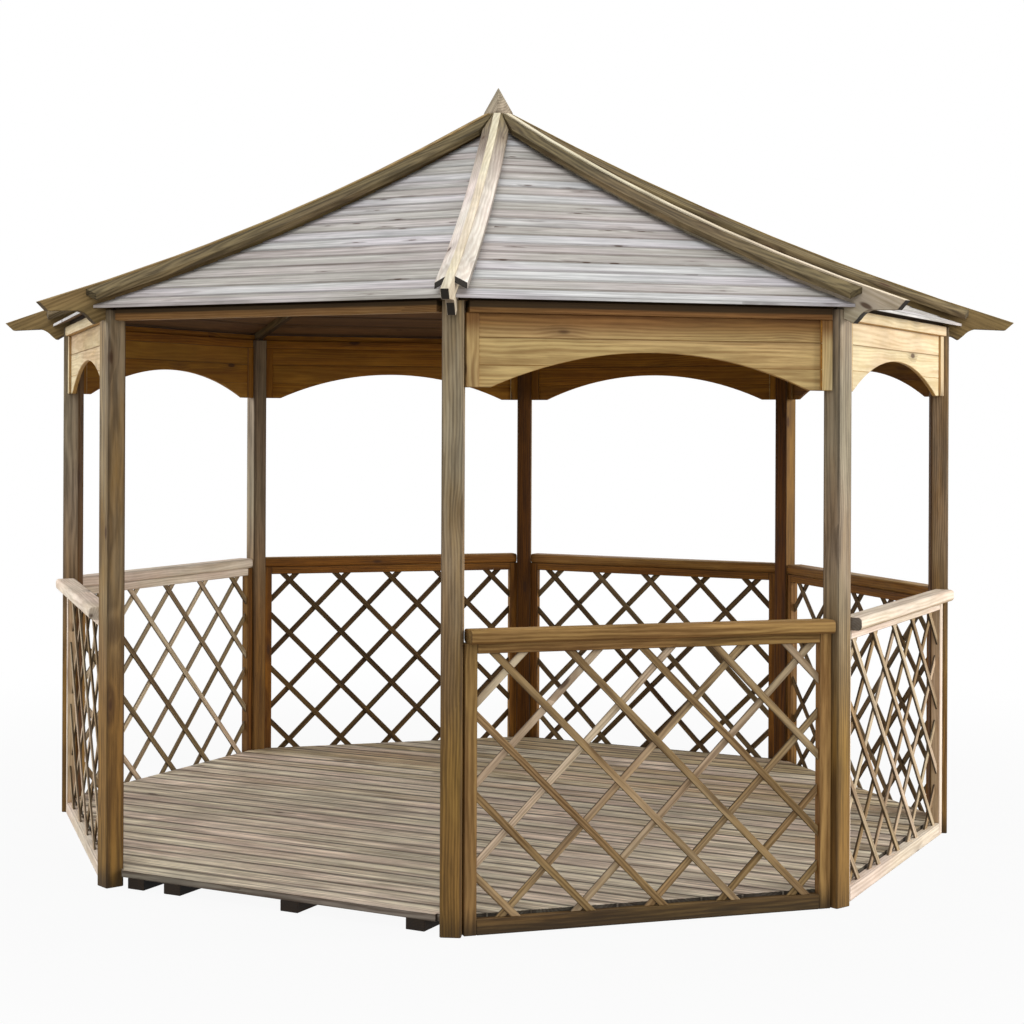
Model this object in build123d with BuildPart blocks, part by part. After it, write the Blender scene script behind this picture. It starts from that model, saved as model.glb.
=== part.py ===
from build123d import *

import os
from math import ceil, cos, radians, sin, tan

os.makedirs("parts", exist_ok=True)

# Eight-sided garden gazebo in timber, in millimetres. The Z axis runs up the middle of the
# building from the ground, and the open side, which is the entry, faces -Y. Bays are counted
# from the entry, anticlockwise seen from above. Post n stands at the left of bay n, seen from
# outside, and every post, rafter and cap follows the radius of its own corner.

# ---- the eight-sided plan ----
SIDES = 8
POST_CIRCLE = 1800  # radius of the circle that the post centres stand on
SIDE_TURN = 360 / SIDES
HALF_TURN = SIDE_TURN / 2
HIP_STRETCH = 1 / cos(radians(HALF_TURN))  # length along a hip for each unit out from the middle
SIDE_LINE = POST_CIRCLE / HIP_STRETCH  # middle of the building to the line of posts
BAYS = range(SIDES)
SIDE_BAYS = range(1, SIDES)  # every bay but the entry

# ---- posts ----
POST_WIDTH = 70
POST_CHAMFER = 4
POST_TOP = 2047
POST_OUT = POST_CIRCLE + POST_WIDTH / 2
POST_IN = POST_CIRCLE - POST_WIDTH / 2


def post_side(depth):
    """Middle of the bay to the side face of its posts, at a depth outward from the post line."""
    middle = POST_CIRCLE * sin(radians(HALF_TURN))
    return middle + depth * tan(radians(HALF_TURN)) - POST_WIDTH / 2 * HIP_STRETCH


# ---- side panels: depths are outward from the line of posts ----
TOUCH = 0.2  # gap left where a rail's inner corner meets a post
PANEL_IN = -7
PANEL_OUT = 28
PANEL_TOP = 943
PANEL_HALF = post_side(PANEL_IN) - TOUCH  # middle of the bay to the outer edge of a stile
STILE_WIDTH = 36
STILE_INNER = PANEL_HALF - STILE_WIDTH
BOTTOM_RAIL = 50
TOP_RAIL = 35

# ---- lattice ----
SLAT_WIDTH = 25
SLAT_THICK = 8
SLAT_MIDDLE = 10.5  # depth where the two layers of slats meet
SLAT_PITCH = 260  # along the rails, between slats of one layer
SLAT_DROP = 32  # underside of the top rail to the highest crossing in the middle of the bay

# ---- handrails ----
HANDRAIL_IN = -10
HANDRAIL_OUT = 75
HANDRAIL_THICK = 45
HANDRAIL_ROUND = 14
HANDRAIL_HALF = post_side(HANDRAIL_IN) - TOUCH

# ---- head rails over the bays ----
HEAD_RAIL_OUT = 40
HEAD_RAIL_THICK = 38
HEAD_RAIL_FOOT = POST_TOP - HEAD_RAIL_THICK

# ---- arched panels, which hang from the head rails ----
ARCH_DEPTH = 242
ARCH_RISE = 120
ARCH_SHOULDER = 42  # level stretch between a stile and the start of the arch
ARCH_FOOT = HEAD_RAIL_FOOT - ARCH_DEPTH
ARCH_HALF = STILE_INNER - ARCH_SHOULDER
ARCH_BOARD_IN = 2
ARCH_BOARD_THICK = 16

# ---- roof: heights are above the posts, and the rafters' top edge is an arc ----
TAIL_REACH = 260  # outer face of a post to the tip of the rafter's tail
TAIL_RISE = 18
RIDGE_TIP = (POST_OUT + TAIL_REACH, POST_TOP + TAIL_RISE)
RIDGE_MIDDLE = (0.525 * RIDGE_TIP[0], POST_TOP + 384)
RIDGE_HIGH = (107, POST_TOP + 858)
HUB_FLAT = 50  # middle of the building to a side of the hub
HUB_TOP = POST_TOP + 882
HUB_HEIGHT = 130
RAFTER_THICK = 28
RAFTER_DEPTH = 120
ROOF_DROP = 72  # top edge of the rafters down to the top of the boards
ROOF_THICK = 12
ROOF_OUT = 86  # line of posts to the edge of the boards
ROOF_TOP_GAP = 6  # corners of the hub to the upper ends of the boards
ROOF_START = (HUB_FLAT * HIP_STRETCH + ROOF_TOP_GAP) * HIP_STRETCH
ROOF_END = (SIDE_LINE + ROOF_OUT) * HIP_STRETCH
EAVES_LENGTH = 2 * ROOF_END * sin(radians(HALF_TURN))

# ---- shaped tails of the rafters: out from the post's outer face, and up from its top ----
TAIL_TOE = (225, -13)
TAIL_FLAT_END = (107, -8)
TAIL_HOLLOW = (79, -18)
TAIL_STEP = (59, -35)
TAIL_FOOT = (38, -52)
TAIL_HEEL = (15, -39)
TAIL_ROOT = (0, -35)

# ---- cap boards along the hips ----
CAP_WIDTH = 47  # across the rafter, seen from above
CAP_STEP = 6  # top of the rafter down to the caps' inner edges
CAP_FALL = 24  # from the inner edge down to the outer edge
CAP_THICK = 21  # measured straight down
CAP_OVERHANG = 22  # corner of the boards out to the lower ends of the caps
CAP_END = ROOF_END + CAP_OVERHANG
CAP_LENGTH = ((CAP_WIDTH * HIP_STRETCH) ** 2 + CAP_FALL**2) ** 0.5
CAP_MITRE = 1  # gap between neighbouring caps where they meet at the top

# ---- finial ----
FINIAL_WIDTH = 86
FINIAL_SKIRT = 8
FINIAL_HEIGHT = 112
FINIAL_TIP = 3

# ---- floor ----
DECK_TOP = 62
DECK_THICK = 24
DECK_BOTTOM = DECK_TOP - DECK_THICK
DECK_CLEAR = 1  # floor to the posts and the panels
DECK_EDGE = SIDE_LINE + PANEL_IN - DECK_CLEAR
ENTRY_OUT = 6  # line of posts to the floor's edge in the entry
ENTRY_EDGE = SIDE_LINE + ENTRY_OUT
ENTRY_CLEAR = 14
ENTRY_HALF = PANEL_HALF - ENTRY_CLEAR
BEARER_WIDTH = 70
BEARER_SHORT = 12  # the bearers stop this far inside the floor's edge
# Places of the bearers along the entry side, as shares of the post circle's radius.
BEARERS_ENTRY = (-0.318, -0.231, 0.039, 0.31)
BEARERS_OUTER = (-0.805, -0.55, 0.578, 0.822)


def outward(turn):
    """Direction on the ground that faces outward, turned from the entry side."""
    return Vector(sin(radians(turn)), -cos(radians(turn)), 0)


def along(turn):
    """Direction on the ground to the right of someone who looks at the building from there."""
    return Vector(cos(radians(turn)), sin(radians(turn)), 0)


def bay_plane(bay, depth):
    """Upright plane of a bay: x runs along it, y is up, and it faces outward."""
    turn = bay * SIDE_TURN
    return Plane(
        origin=outward(turn) * (SIDE_LINE + depth), x_dir=along(turn), z_dir=outward(turn)
    )


def hip_turn(post):
    return post * SIDE_TURN - HALF_TURN


def hip_plane(post):
    """Upright plane through a corner post: x runs outward and y is up."""
    turn = hip_turn(post)
    return Plane(origin=(0, 0, 0), x_dir=outward(turn), z_dir=along(turn) * -1)


def finish(builder, name):
    """Label a finished piece and write it under its own name."""
    builder.part.label = name
    export_step(builder.part, f"parts/{name}.step")


# ---- corner posts: square, with the four long edges taken off ----
for post in BAYS:
    turn = hip_turn(post)
    foot = Plane(origin=outward(turn) * POST_CIRCLE, x_dir=along(turn), z_dir=(0, 0, 1))
    with BuildPart() as corner_post:
        with BuildSketch(foot) as section:
            Rectangle(POST_WIDTH, POST_WIDTH)
            chamfer(section.vertices(), POST_CHAMFER)
        extrude(amount=POST_TOP)
    finish(corner_post, f"post_{post + 1}")


# ---- lattice panels: a frame of rails and stiles round two crossing layers of slats ----
LATTICE_TOP = PANEL_TOP - TOP_RAIL
LATTICE_HEIGHT = LATTICE_TOP - BOTTOM_RAIL
LATTICE_MIDDLE = BOTTOM_RAIL + LATTICE_HEIGHT / 2
SLAT_LENGTH = 2 * (STILE_INNER + LATTICE_HEIGHT)
SLAT_REACH = ceil(STILE_INNER / SLAT_PITCH)  # slats that cross the middle above or below the frame
SLATS_BELOW = SLAT_REACH + ceil(LATTICE_HEIGHT / SLAT_PITCH)
# Heights where the slats of a layer cross the middle of the bay.
SLAT_HEIGHTS = [
    LATTICE_TOP - SLAT_DROP - SLAT_PITCH * step for step in range(-SLAT_REACH, SLATS_BELOW)
]

for bay in SIDE_BAYS:
    with BuildPart() as panel:
        with BuildSketch(bay_plane(bay, PANEL_IN)):
            with Locations((0, PANEL_TOP / 2)):
                Rectangle(2 * PANEL_HALF, PANEL_TOP)
            with Locations((0, LATTICE_MIDDLE)):
                Rectangle(2 * STILE_INNER, LATTICE_HEIGHT, mode=Mode.SUBTRACT)
        extrude(amount=PANEL_OUT - PANEL_IN)
        for lean, depth in ((45, SLAT_MIDDLE), (-45, SLAT_MIDDLE - SLAT_THICK)):
            with BuildSketch(bay_plane(bay, depth)) as layer:
                for height in SLAT_HEIGHTS:
                    with Locations((0, height)):
                        Rectangle(SLAT_LENGTH, SLAT_WIDTH, rotation=lean)
                with Locations((0, LATTICE_MIDDLE)):
                    Rectangle(2 * STILE_INNER, LATTICE_HEIGHT, mode=Mode.INTERSECT)
            extrude(amount=SLAT_THICK)
    finish(panel, f"lattice_panel_{bay}")


# ---- handrails: square-ended bars on the panels, with a rounded top ----
for bay in SIDE_BAYS:
    turn = bay * SIDE_TURN
    rail_end = Plane(
        origin=outward(turn) * SIDE_LINE - along(turn) * HANDRAIL_HALF,
        x_dir=outward(turn),
        z_dir=along(turn) * -1,
    )
    with BuildPart() as handrail:
        with BuildSketch(rail_end) as section:
            with Locations(((HANDRAIL_IN + HANDRAIL_OUT) / 2, PANEL_TOP + HANDRAIL_THICK / 2)):
                Rectangle(HANDRAIL_OUT - HANDRAIL_IN, HANDRAIL_THICK)
            fillet(section.vertices().group_by(Axis.Z)[-1], HANDRAIL_ROUND)
        extrude(amount=-2 * HANDRAIL_HALF)
    finish(handrail, f"handrail_{bay}")


# ---- arched panels: a board with an arch cut from it, between two short stiles ----
for bay in SIDE_BAYS:
    with BuildPart() as arch:
        with BuildSketch(bay_plane(bay, ARCH_BOARD_IN)):
            with BuildLine():
                Line((-ARCH_HALF, ARCH_FOOT), (-PANEL_HALF, ARCH_FOOT))
                Line((-PANEL_HALF, ARCH_FOOT), (-PANEL_HALF, HEAD_RAIL_FOOT))
                Line((-PANEL_HALF, HEAD_RAIL_FOOT), (PANEL_HALF, HEAD_RAIL_FOOT))
                Line((PANEL_HALF, HEAD_RAIL_FOOT), (PANEL_HALF, ARCH_FOOT))
                Line((PANEL_HALF, ARCH_FOOT), (ARCH_HALF, ARCH_FOOT))
                ThreePointArc(
                    (ARCH_HALF, ARCH_FOOT), (0, ARCH_FOOT + ARCH_RISE), (-ARCH_HALF, ARCH_FOOT)
                )
            make_face()
        extrude(amount=ARCH_BOARD_THICK)
        with BuildSketch(bay_plane(bay, PANEL_IN)):
            for side in (-1, 1):
                with Locations((side * (PANEL_HALF - STILE_WIDTH / 2), ARCH_FOOT + ARCH_DEPTH / 2)):
                    Rectangle(STILE_WIDTH, ARCH_DEPTH)
        extrude(amount=PANEL_OUT - PANEL_IN)
    finish(arch, f"arch_panel_{bay}")


# ---- head rails: one over each bay, the entry included ----
with BuildPart() as head_rails:
    for bay in BAYS:
        with BuildSketch(bay_plane(bay, PANEL_IN)):
            with Locations((0, HEAD_RAIL_FOOT + HEAD_RAIL_THICK / 2)):
                Rectangle(2 * PANEL_HALF, HEAD_RAIL_THICK)
        extrude(amount=HEAD_RAIL_OUT - PANEL_IN)
finish(head_rails, "head_rails")


# ---- the curve that the whole roof follows: an arc through three points of a rafter's edge ----
with BuildLine(mode=Mode.PRIVATE) as ridge_line:
    ridge = ThreePointArc(RIDGE_HIGH, RIDGE_MIDDLE, RIDGE_TIP)
RIDGE_CENTRE = ridge.arc_center
RIDGE_RADIUS = ridge.radius


def ridge_height(radius):
    """Height of the top edge of a rafter: the arc hangs below its own centre."""
    return RIDGE_CENTRE.Y - (RIDGE_RADIUS**2 - (radius - RIDGE_CENTRE.X) ** 2) ** 0.5


def ridge_point(radius, drop=0):
    return (radius, ridge_height(radius) - drop)


def ridge_arc(start, end, drop=0):
    """Stretch of the roof's curve between two radii, lowered by a drop."""
    middle = (start + end) / 2
    return ThreePointArc(ridge_point(start, drop), ridge_point(middle, drop), ridge_point(end, drop))


def curved_band(start, end, top_drop, bottom_drop):
    """Outline between the roof's curve and the same curve further down."""
    with BuildLine() as outline:
        ridge_arc(start, end, top_drop)
        Line(ridge_point(end, top_drop), ridge_point(end, bottom_drop))
        ridge_arc(end, start, bottom_drop)
        Line(ridge_point(start, bottom_drop), ridge_point(start, top_drop))
    return outline.edges()


# ---- roof panels: the curve drawn over one rafter and carried straight along the bay ----
for bay in BAYS:
    first, last = bay, (bay + 1) % SIDES
    with BuildPart() as roof_panel:
        with BuildSketch(hip_plane(first)):
            make_face(curved_band(ROOF_START, ROOF_END, ROOF_DROP, ROOF_DROP + ROOF_THICK))
        extrude(amount=EAVES_LENGTH, dir=along(bay * SIDE_TURN))
        split(bisect_by=hip_plane(first).offset(-RAFTER_THICK / 2), keep=Keep.BOTTOM)
        split(bisect_by=hip_plane(last).offset(RAFTER_THICK / 2), keep=Keep.TOP)
    finish(roof_panel, f"roof_panel_{bay + 1}")


# ---- eaves boards: they stand on the head rails and close the gap under the roof boards ----
EAVES_OUT = ARCH_BOARD_IN + ARCH_BOARD_THICK
EAVES_TOP = ridge_height((SIDE_LINE + EAVES_OUT) * HIP_STRETCH) - ROOF_DROP - ROOF_THICK - TOUCH
# Half the length: the boards stop just short of the sides of the rafters.
EAVES_HALF = (SIDE_LINE + ARCH_BOARD_IN) * tan(radians(HALF_TURN))
EAVES_HALF -= RAFTER_THICK / 2 * HIP_STRETCH + TOUCH

with BuildPart() as eaves_boards:
    for bay in BAYS:
        with BuildSketch(bay_plane(bay, ARCH_BOARD_IN)):
            with Locations((0, (POST_TOP + EAVES_TOP) / 2)):
                Rectangle(2 * EAVES_HALF, EAVES_TOP - POST_TOP)
        extrude(amount=ARCH_BOARD_THICK)
finish(eaves_boards, "eaves_boards")


# ---- hip rafters: sawn to the curve, seated on the posts, with a shaped tail ----
def flat_radius(height):
    """Radius at which the top edge of a rafter passes a height."""
    rise = RIDGE_CENTRE.Y - height
    return RIDGE_CENTRE.X - (RIDGE_RADIUS**2 - rise**2) ** 0.5


def tail_point(place):
    return (POST_OUT + place[0], POST_TOP + place[1])


def rafter_profile():
    """Outline of one rafter in its own upright plane, drawn from the hub round to the hub."""
    hub_corner = (HUB_FLAT, HUB_TOP)
    top_start = (flat_radius(HUB_TOP), HUB_TOP)
    toe, flat_end, hollow, step, tail_foot, heel, root = map(
        tail_point,
        (TAIL_TOE, TAIL_FLAT_END, TAIL_HOLLOW, TAIL_STEP, TAIL_FOOT, TAIL_HEEL, TAIL_ROOT),
    )
    with BuildLine() as outline:
        Line(hub_corner, top_start)
        ridge_arc(top_start[0], RIDGE_TIP[0])
        Polyline(RIDGE_TIP, toe, flat_end)
        ThreePointArc(flat_end, hollow, step)
        Polyline(step, tail_foot, heel, root, (POST_OUT, POST_TOP), (POST_IN, POST_TOP))
        Line((POST_IN, POST_TOP), ridge_point(POST_IN, RAFTER_DEPTH))
        ridge_arc(POST_IN, HUB_FLAT, RAFTER_DEPTH)
        Line(ridge_point(HUB_FLAT, RAFTER_DEPTH), hub_corner)
    return outline.edges()


with BuildPart() as hip_rafters:
    for post in BAYS:
        with BuildSketch(hip_plane(post)):
            make_face(rafter_profile())
        extrude(amount=RAFTER_THICK / 2, both=True)
finish(hip_rafters, "hip_rafters")


# ---- hip caps: two boards along each rafter shed the rain from the ends of the roof boards ----
def cap_board(post, side):
    """One cap board, made outside the other builders and given back as a part."""
    hip = hip_plane(post)
    bay = post if side > 0 else (post - 1) % SIDES
    bay_run = along(bay * SIDE_TURN) * side
    lean = bay_run * (CAP_WIDTH * HIP_STRETCH) - Vector(0, 0, CAP_FALL)
    face = hip.offset(-side * RAFTER_THICK / 2)
    with BuildPart(mode=Mode.PRIVATE) as board:
        with BuildSketch(face):
            make_face(curved_band(0, CAP_END, CAP_STEP, CAP_STEP + CAP_THICK))
        extrude(amount=CAP_LENGTH, dir=lean)
        # the upper end stops at the hub, under the finial and at the next cap
        hub_side = Plane(origin=hip.x_dir * HUB_FLAT, z_dir=hip.x_dir)
        split(bisect_by=hub_side, keep=Keep.TOP)
        split(bisect_by=Plane.XY.offset(HUB_TOP), keep=Keep.BOTTOM)
        mitre = Plane(origin=(0, 0, 0), z_dir=bay_run)
        split(bisect_by=mitre.offset(-CAP_MITRE / 2), keep=Keep.BOTTOM)
    return board.part


caps = [cap_board(post, side) for post in BAYS for side in (-1, 1)]
with BuildPart() as hip_caps:
    for cap in caps:
        add(cap)
finish(hip_caps, "hip_caps")


# ---- hub: an eight-sided block that the rafters butt against ----
with BuildPart() as roof_hub:
    with BuildSketch(Plane.XY.offset(HUB_TOP)):
        RegularPolygon(HUB_FLAT, SIDES, major_radius=False)
    extrude(amount=-HUB_HEIGHT)
finish(roof_hub, "roof_hub")


# ---- finial: a low pyramid on a thin square skirt, with its corners over four of the hips ----
with BuildPart() as finial:
    with BuildSketch(Plane.XY.offset(HUB_TOP)):
        Rectangle(FINIAL_WIDTH, FINIAL_WIDTH, rotation=-HALF_TURN)
    extrude(amount=FINIAL_SKIRT)
    with BuildSketch(Plane.XY.offset(HUB_TOP + FINIAL_SKIRT)):
        Rectangle(FINIAL_WIDTH, FINIAL_WIDTH, rotation=-HALF_TURN)
    with BuildSketch(Plane.XY.offset(HUB_TOP + FINIAL_HEIGHT)):
        Rectangle(FINIAL_TIP, FINIAL_TIP, rotation=-HALF_TURN)
    loft()
finish(finial, "finial")


# ---- floor: one level, cut round the posts, with a tongue that fills the entry ----
POST_NOTCH = POST_WIDTH + 2 * DECK_CLEAR

with BuildPart() as deck:
    with BuildSketch(Plane.XY.offset(DECK_BOTTOM)):
        RegularPolygon(DECK_EDGE, SIDES, major_radius=False, rotation=HALF_TURN)
        with Locations((0, -ENTRY_EDGE / 2)):
            Rectangle(2 * ENTRY_HALF, ENTRY_EDGE)
        with PolarLocations(POST_CIRCLE, SIDES, start_angle=HALF_TURN):
            Rectangle(POST_NOTCH, POST_NOTCH, mode=Mode.SUBTRACT)
    extrude(amount=DECK_THICK)
finish(deck, "deck")


# ---- bearers: they lie on the ground across the boards and carry the floor ----
def floor_reach(place):
    """How far the floor runs from the middle at a place to the left or right of it."""
    slanting = DECK_EDGE * 2**0.5 - abs(place) - BEARER_WIDTH / 2
    return min(DECK_EDGE, slanting) - BEARER_SHORT


with BuildPart() as floor_bearers:
    with BuildSketch(Plane.XY):
        for share in BEARERS_ENTRY + BEARERS_OUTER:
            place = share * POST_CIRCLE
            back = floor_reach(place)
            front = ENTRY_EDGE if share in BEARERS_ENTRY else back
            with Locations((place, (back - front) / 2)):
                Rectangle(BEARER_WIDTH, back + front)
    extrude(amount=DECK_BOTTOM)
finish(floor_bearers, "floor_bearers")
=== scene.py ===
# %% [markdown]
# # A timber garden gazebo
# This notebook dresses a gazebo whose joinery is already fixed: eight posts, lattice panels, arched boards,
# a floor and a curved roof. We load that frame, turn its plain solids into separate boards with grain, knots
# and weather, and light them softly. Everything is in metres, +Z is up and the open entry faces -Y.

import math
import random

import bmesh
import bpy
from mathutils import Matrix, Vector


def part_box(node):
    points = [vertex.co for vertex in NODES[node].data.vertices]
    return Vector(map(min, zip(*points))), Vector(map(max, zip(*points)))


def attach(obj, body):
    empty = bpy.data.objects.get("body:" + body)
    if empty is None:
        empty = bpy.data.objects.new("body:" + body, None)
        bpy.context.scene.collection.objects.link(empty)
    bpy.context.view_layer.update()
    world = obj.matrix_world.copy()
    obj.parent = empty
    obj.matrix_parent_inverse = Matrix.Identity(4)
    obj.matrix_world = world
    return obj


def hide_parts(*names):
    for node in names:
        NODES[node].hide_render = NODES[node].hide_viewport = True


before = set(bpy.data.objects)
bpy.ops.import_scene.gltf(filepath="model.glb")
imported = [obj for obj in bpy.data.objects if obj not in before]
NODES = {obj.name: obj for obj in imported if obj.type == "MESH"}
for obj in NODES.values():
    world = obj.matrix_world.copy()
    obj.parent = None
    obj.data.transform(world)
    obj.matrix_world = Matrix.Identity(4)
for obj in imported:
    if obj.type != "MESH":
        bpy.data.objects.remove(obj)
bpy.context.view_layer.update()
SIDES = 8
TURN = math.tau / SIDES
HALF_TURN = TURN / 2
SIDE_BAYS = range(1, SIDES)

# %% [markdown]
# ## Sizes read from the frame
# A node's box gives most of the sizes we need. The back bay lies square to the axes, so its panel and its
# arched board are the handiest to measure. The widths of the rails and stiles can't be read from a box, so
# they are written out.

# %% Measure the frame
BACK = 4  # the bay opposite the entry
panel_low, panel_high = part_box(f"lattice_panel_{BACK}")
arch_low, arch_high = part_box(f"arch_panel_{BACK}")
deck_low, deck_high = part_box("deck")
PANEL_HALF = panel_high.x
PANEL_TOP = panel_high.z
PANEL_IN, PANEL_OUT = panel_low.y, panel_high.y
STILE = 0.036
BOTTOM_RAIL, TOP_RAIL = 0.050, 0.035
panel_size = (2 * PANEL_HALF, PANEL_OUT - PANEL_IN, PANEL_TOP)
print("each panel is", [round(size, 3) for size in panel_size], "wide, thick and high")


# %% [markdown]
# ## A small kit for node trees
# Shader trees and Geometry Nodes trees are wired in the same way, so one helper adds a node, sets its
# properties and fills its inputs. An input takes either a number or the socket of another node.

# %% Node helpers
def put(tree, kind, inputs=None, **settings):
    """Add a node, set its properties, and fill or link its inputs."""
    node = tree.nodes.new(kind)
    for name, value in settings.items():
        setattr(node, name, value)
    for key, value in (inputs or {}).items():
        if isinstance(value, bpy.types.NodeSocket):
            tree.links.new(value, node.inputs[key])
        else:
            node.inputs[key].default_value = value
    return node


def math_node(tree, operation, *values):
    return put(tree, "ShaderNodeMath", dict(enumerate(values)), operation=operation).outputs[0]


def mix_colour(tree, amount, first, second, blend="MIX"):
    inputs = {0: amount, 6: first, 7: second}  # the factor and the two colours of a Mix node
    return put(tree, "ShaderNodeMix", inputs, data_type="RGBA", blend_type=blend).outputs[2]


def ramp(tree, value, start, end):
    """A smooth step from 0 at start to 1 at end."""
    inputs = {"Value": value, "From Min": start, "From Max": end}
    return put(tree, "ShaderNodeMapRange", inputs, interpolation_type="SMOOTHSTEP").outputs[0]


# %% [markdown]
# ## Timber
# Softwood that has stood outside shows growth rings drawn out into streaks, fine fibres and small dark knots
# that the grain flows round. Sun bleaches the open faces to grey, and dirt settles along the edges and in the
# joints. Wood under the roof keeps a deep red brown, and that darker colour also stands in for shade,
# painted, as on faces that look down. Under the eaves a painted shadow of the roof edge darkens the boards: a
# black line at the top and brown below it. Narrow faces get painted light of their own, and sawn ends some
# painted shade.
# Posts drink from the ground, so their feet are dark. One recipe covers all of it, in small steps that each
# change the colour a little. Each piece carries attributes made from its own shape: grain (coordinates whose
# x runs along the fibres), edge (how near the sides of its face), tone, side_face, sawn_end, and the shelter
# and shade of each face. So the same recipe suits posts, slats and boards at any angle.
#
# Tone says how bleached a piece is: 0 is brown and 1 is grey or nearly white. Below 0 the wood is darker
# still, which on a few pieces is painted shade, and above about 1.2 a piece stays pale under the roof too, as
# where low sun reaches it.

# %% Colours
def paint(red, green, blue):
    """A colour from its usual 0 to 255 numbers, in the linear values that shaders use."""
    def linear(part):
        share = part / 255
        return share / 12.92 if share <= 0.04045 else ((share + 0.055) / 1.055) ** 2.4
    return (linear(red), linear(green), linear(blue), 1.0)


KNOT = paint(70, 44, 26)
GRIME = paint(52, 38, 26)
SAWN_END_AND_SHADE = paint(22, 16, 11)
WET_FOOT = paint(34, 27, 16)
EAVES_SHADOW_BROWN = paint(180, 154, 130)
EAVES_SHADOW_BLACK = paint(44, 35, 18)
PINKISH = (1.06, 0.97, 0.98, 1)
GREENISH = (0.95, 1.01, 0.90, 1)


# %% What the steps of a finish share
class Wood:
    """The shader tree of one finish, with the attributes and the noises that its steps share."""

    def __init__(self, name):
        self.material = bpy.data.materials.new(name)
        self.material.use_nodes = True
        self.tree = self.material.node_tree
        self.tree.nodes.clear()
        self.grain = self.attribute("grain", "Vector")
        self.tone = self.attribute("tone")
        place = self.put("ShaderNodeTexCoord").outputs["Object"]
        self.rise = self.put("ShaderNodeSeparateXYZ", {0: place}).outputs["Z"]
        self.streaks = self.noise(2.2, 42.0, detail=5.0, roughness=0.7)
        self.fibres = self.noise(12.0, 300.0, detail=2.0)
        self.blotches = self.noise(5.0, 9.0)
        self.ripple = self.calc("SUBTRACT", self.streaks, 0.5)

    def put(self, kind, inputs=None, **settings):
        return put(self.tree, kind, inputs, **settings)

    def attribute(self, label, output="Fac"):
        return self.put("ShaderNodeAttribute", attribute_name=label).outputs[output]

    def calc(self, operation, *values):
        return math_node(self.tree, operation, *values)

    def step(self, value, start, end):
        return ramp(self.tree, value, start, end)

    def mix(self, amount, first, second, blend="MIX"):
        return mix_colour(self.tree, amount, first, second, blend)

    def scale(self, colour, factor):
        inputs = {0: colour, "Scale": factor}
        return self.put("ShaderNodeVectorMath", inputs, operation="SCALE").outputs[0]

    def stretched(self, along, across):
        inputs = {"Vector": self.grain, "Scale": (along, across, across)}
        return self.put("ShaderNodeMapping", inputs).outputs[0]

    def noise(self, along, across, detail=3.0, roughness=0.55):
        """Noise with this many waves to the metre, along the fibres and across them."""
        place = self.stretched(along, across)
        inputs = {"Vector": place, "Scale": 1.0, "Detail": detail, "Roughness": roughness}
        return self.put("ShaderNodeTexNoise", inputs).outputs[0]


# %% Grain: knots, rings and fibres
KNOTS_ALONG, KNOTS_ACROSS = 4.2, 13.0  # cells to the metre, of which a few hold a knot
KNOT_CORE = (0.16, 0.08)  # distances in a cell, from the rim of the knot in to its dark middle
KNOT_HALO = (0.50, 0.10)
RINGS = 700.0  # radians of ring for each metre from the heart
RING_BEND = 26.0  # radians that slow noise adds to a ring
KNOT_BEND = 5.0  # and a knot
RING_SHARE, FIBRE_SHARE = 0.16, 0.20  # next to the streaks, which count in full


def knots_in(wood, share, size):
    """Masks for the cores of the knots and for the halo of bent grain round each."""
    places = wood.stretched(KNOTS_ALONG / size, KNOTS_ACROSS / size)
    cells = wood.put("ShaderNodeTexVoronoi", {"Vector": places, "Scale": 1.0}).outputs
    chosen = wood.calc("GREATER_THAN", cells["Color"], 1.0 - share)
    core = wood.calc("MULTIPLY", chosen, wood.step(cells["Distance"], *KNOT_CORE))
    halo = wood.calc("MULTIPLY", chosen, wood.step(cells["Distance"], *KNOT_HALO))
    return core, halo


def figure_of(wood, halo):
    """Growth rings about the heart of the tree, bent by slow noise and by knots, with streaks and fibres."""
    parts = wood.put("ShaderNodeSeparateXYZ", {0: wood.grain}).outputs
    across = wood.put("ShaderNodeCombineXYZ", {"Y": parts["Y"], "Z": parts["Z"]}).outputs[0]
    heart = wood.put("ShaderNodeVectorMath", {0: across}, operation="LENGTH").outputs["Value"]
    bend = wood.calc("MULTIPLY", wood.noise(1.4, 6.0, detail=2.0), RING_BEND)
    ring = wood.calc("MULTIPLY_ADD", heart, RINGS, bend)
    ring = wood.calc("MULTIPLY_ADD", halo, KNOT_BEND, ring)
    rings = wood.calc("MULTIPLY_ADD", wood.calc("SINE", ring), 0.5, 0.5)
    figure = wood.calc("MULTIPLY_ADD", rings, RING_SHARE, wood.streaks)
    return wood.calc("MULTIPLY_ADD", wood.fibres, FIBRE_SHARE, figure)


# %% Age: sun, blotches and painted shadow under the eaves
FIGURE_MIDDLE, FIGURE_REACH = 0.69, 0.29  # of the streaks, from their dark to their pale
BLEACH = 1.3  # how strongly the tone of a piece bleaches it
BLOTCH_MIDDLE = 0.51  # of the noise, so that blotches leave the average shade alone
EAVES_SHADOW_BAND = (1.92, 1.99)  # heights between which the brown painted shadow under the eaves sets in
EAVES_SHADOW_LINE = (2.014, 2.022)  # and the black painted shadow line under the roof edge, above it
BAND_RIPPLE, LINE_RIPPLE = 0.04, 0.015  # how ragged the two are
LINE_LIFT = 0.035  # how much higher the line sits on a pale piece
LINE_SHADE = 0.85
SHADOWED_TONES = (0.75, 0.4)  # tones between which the painted shadow shows more and more: paler pieces have none
LINED_TONES = (0.95, 0.65)
COVERED_TONES = (1.4, 1.15)


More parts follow.
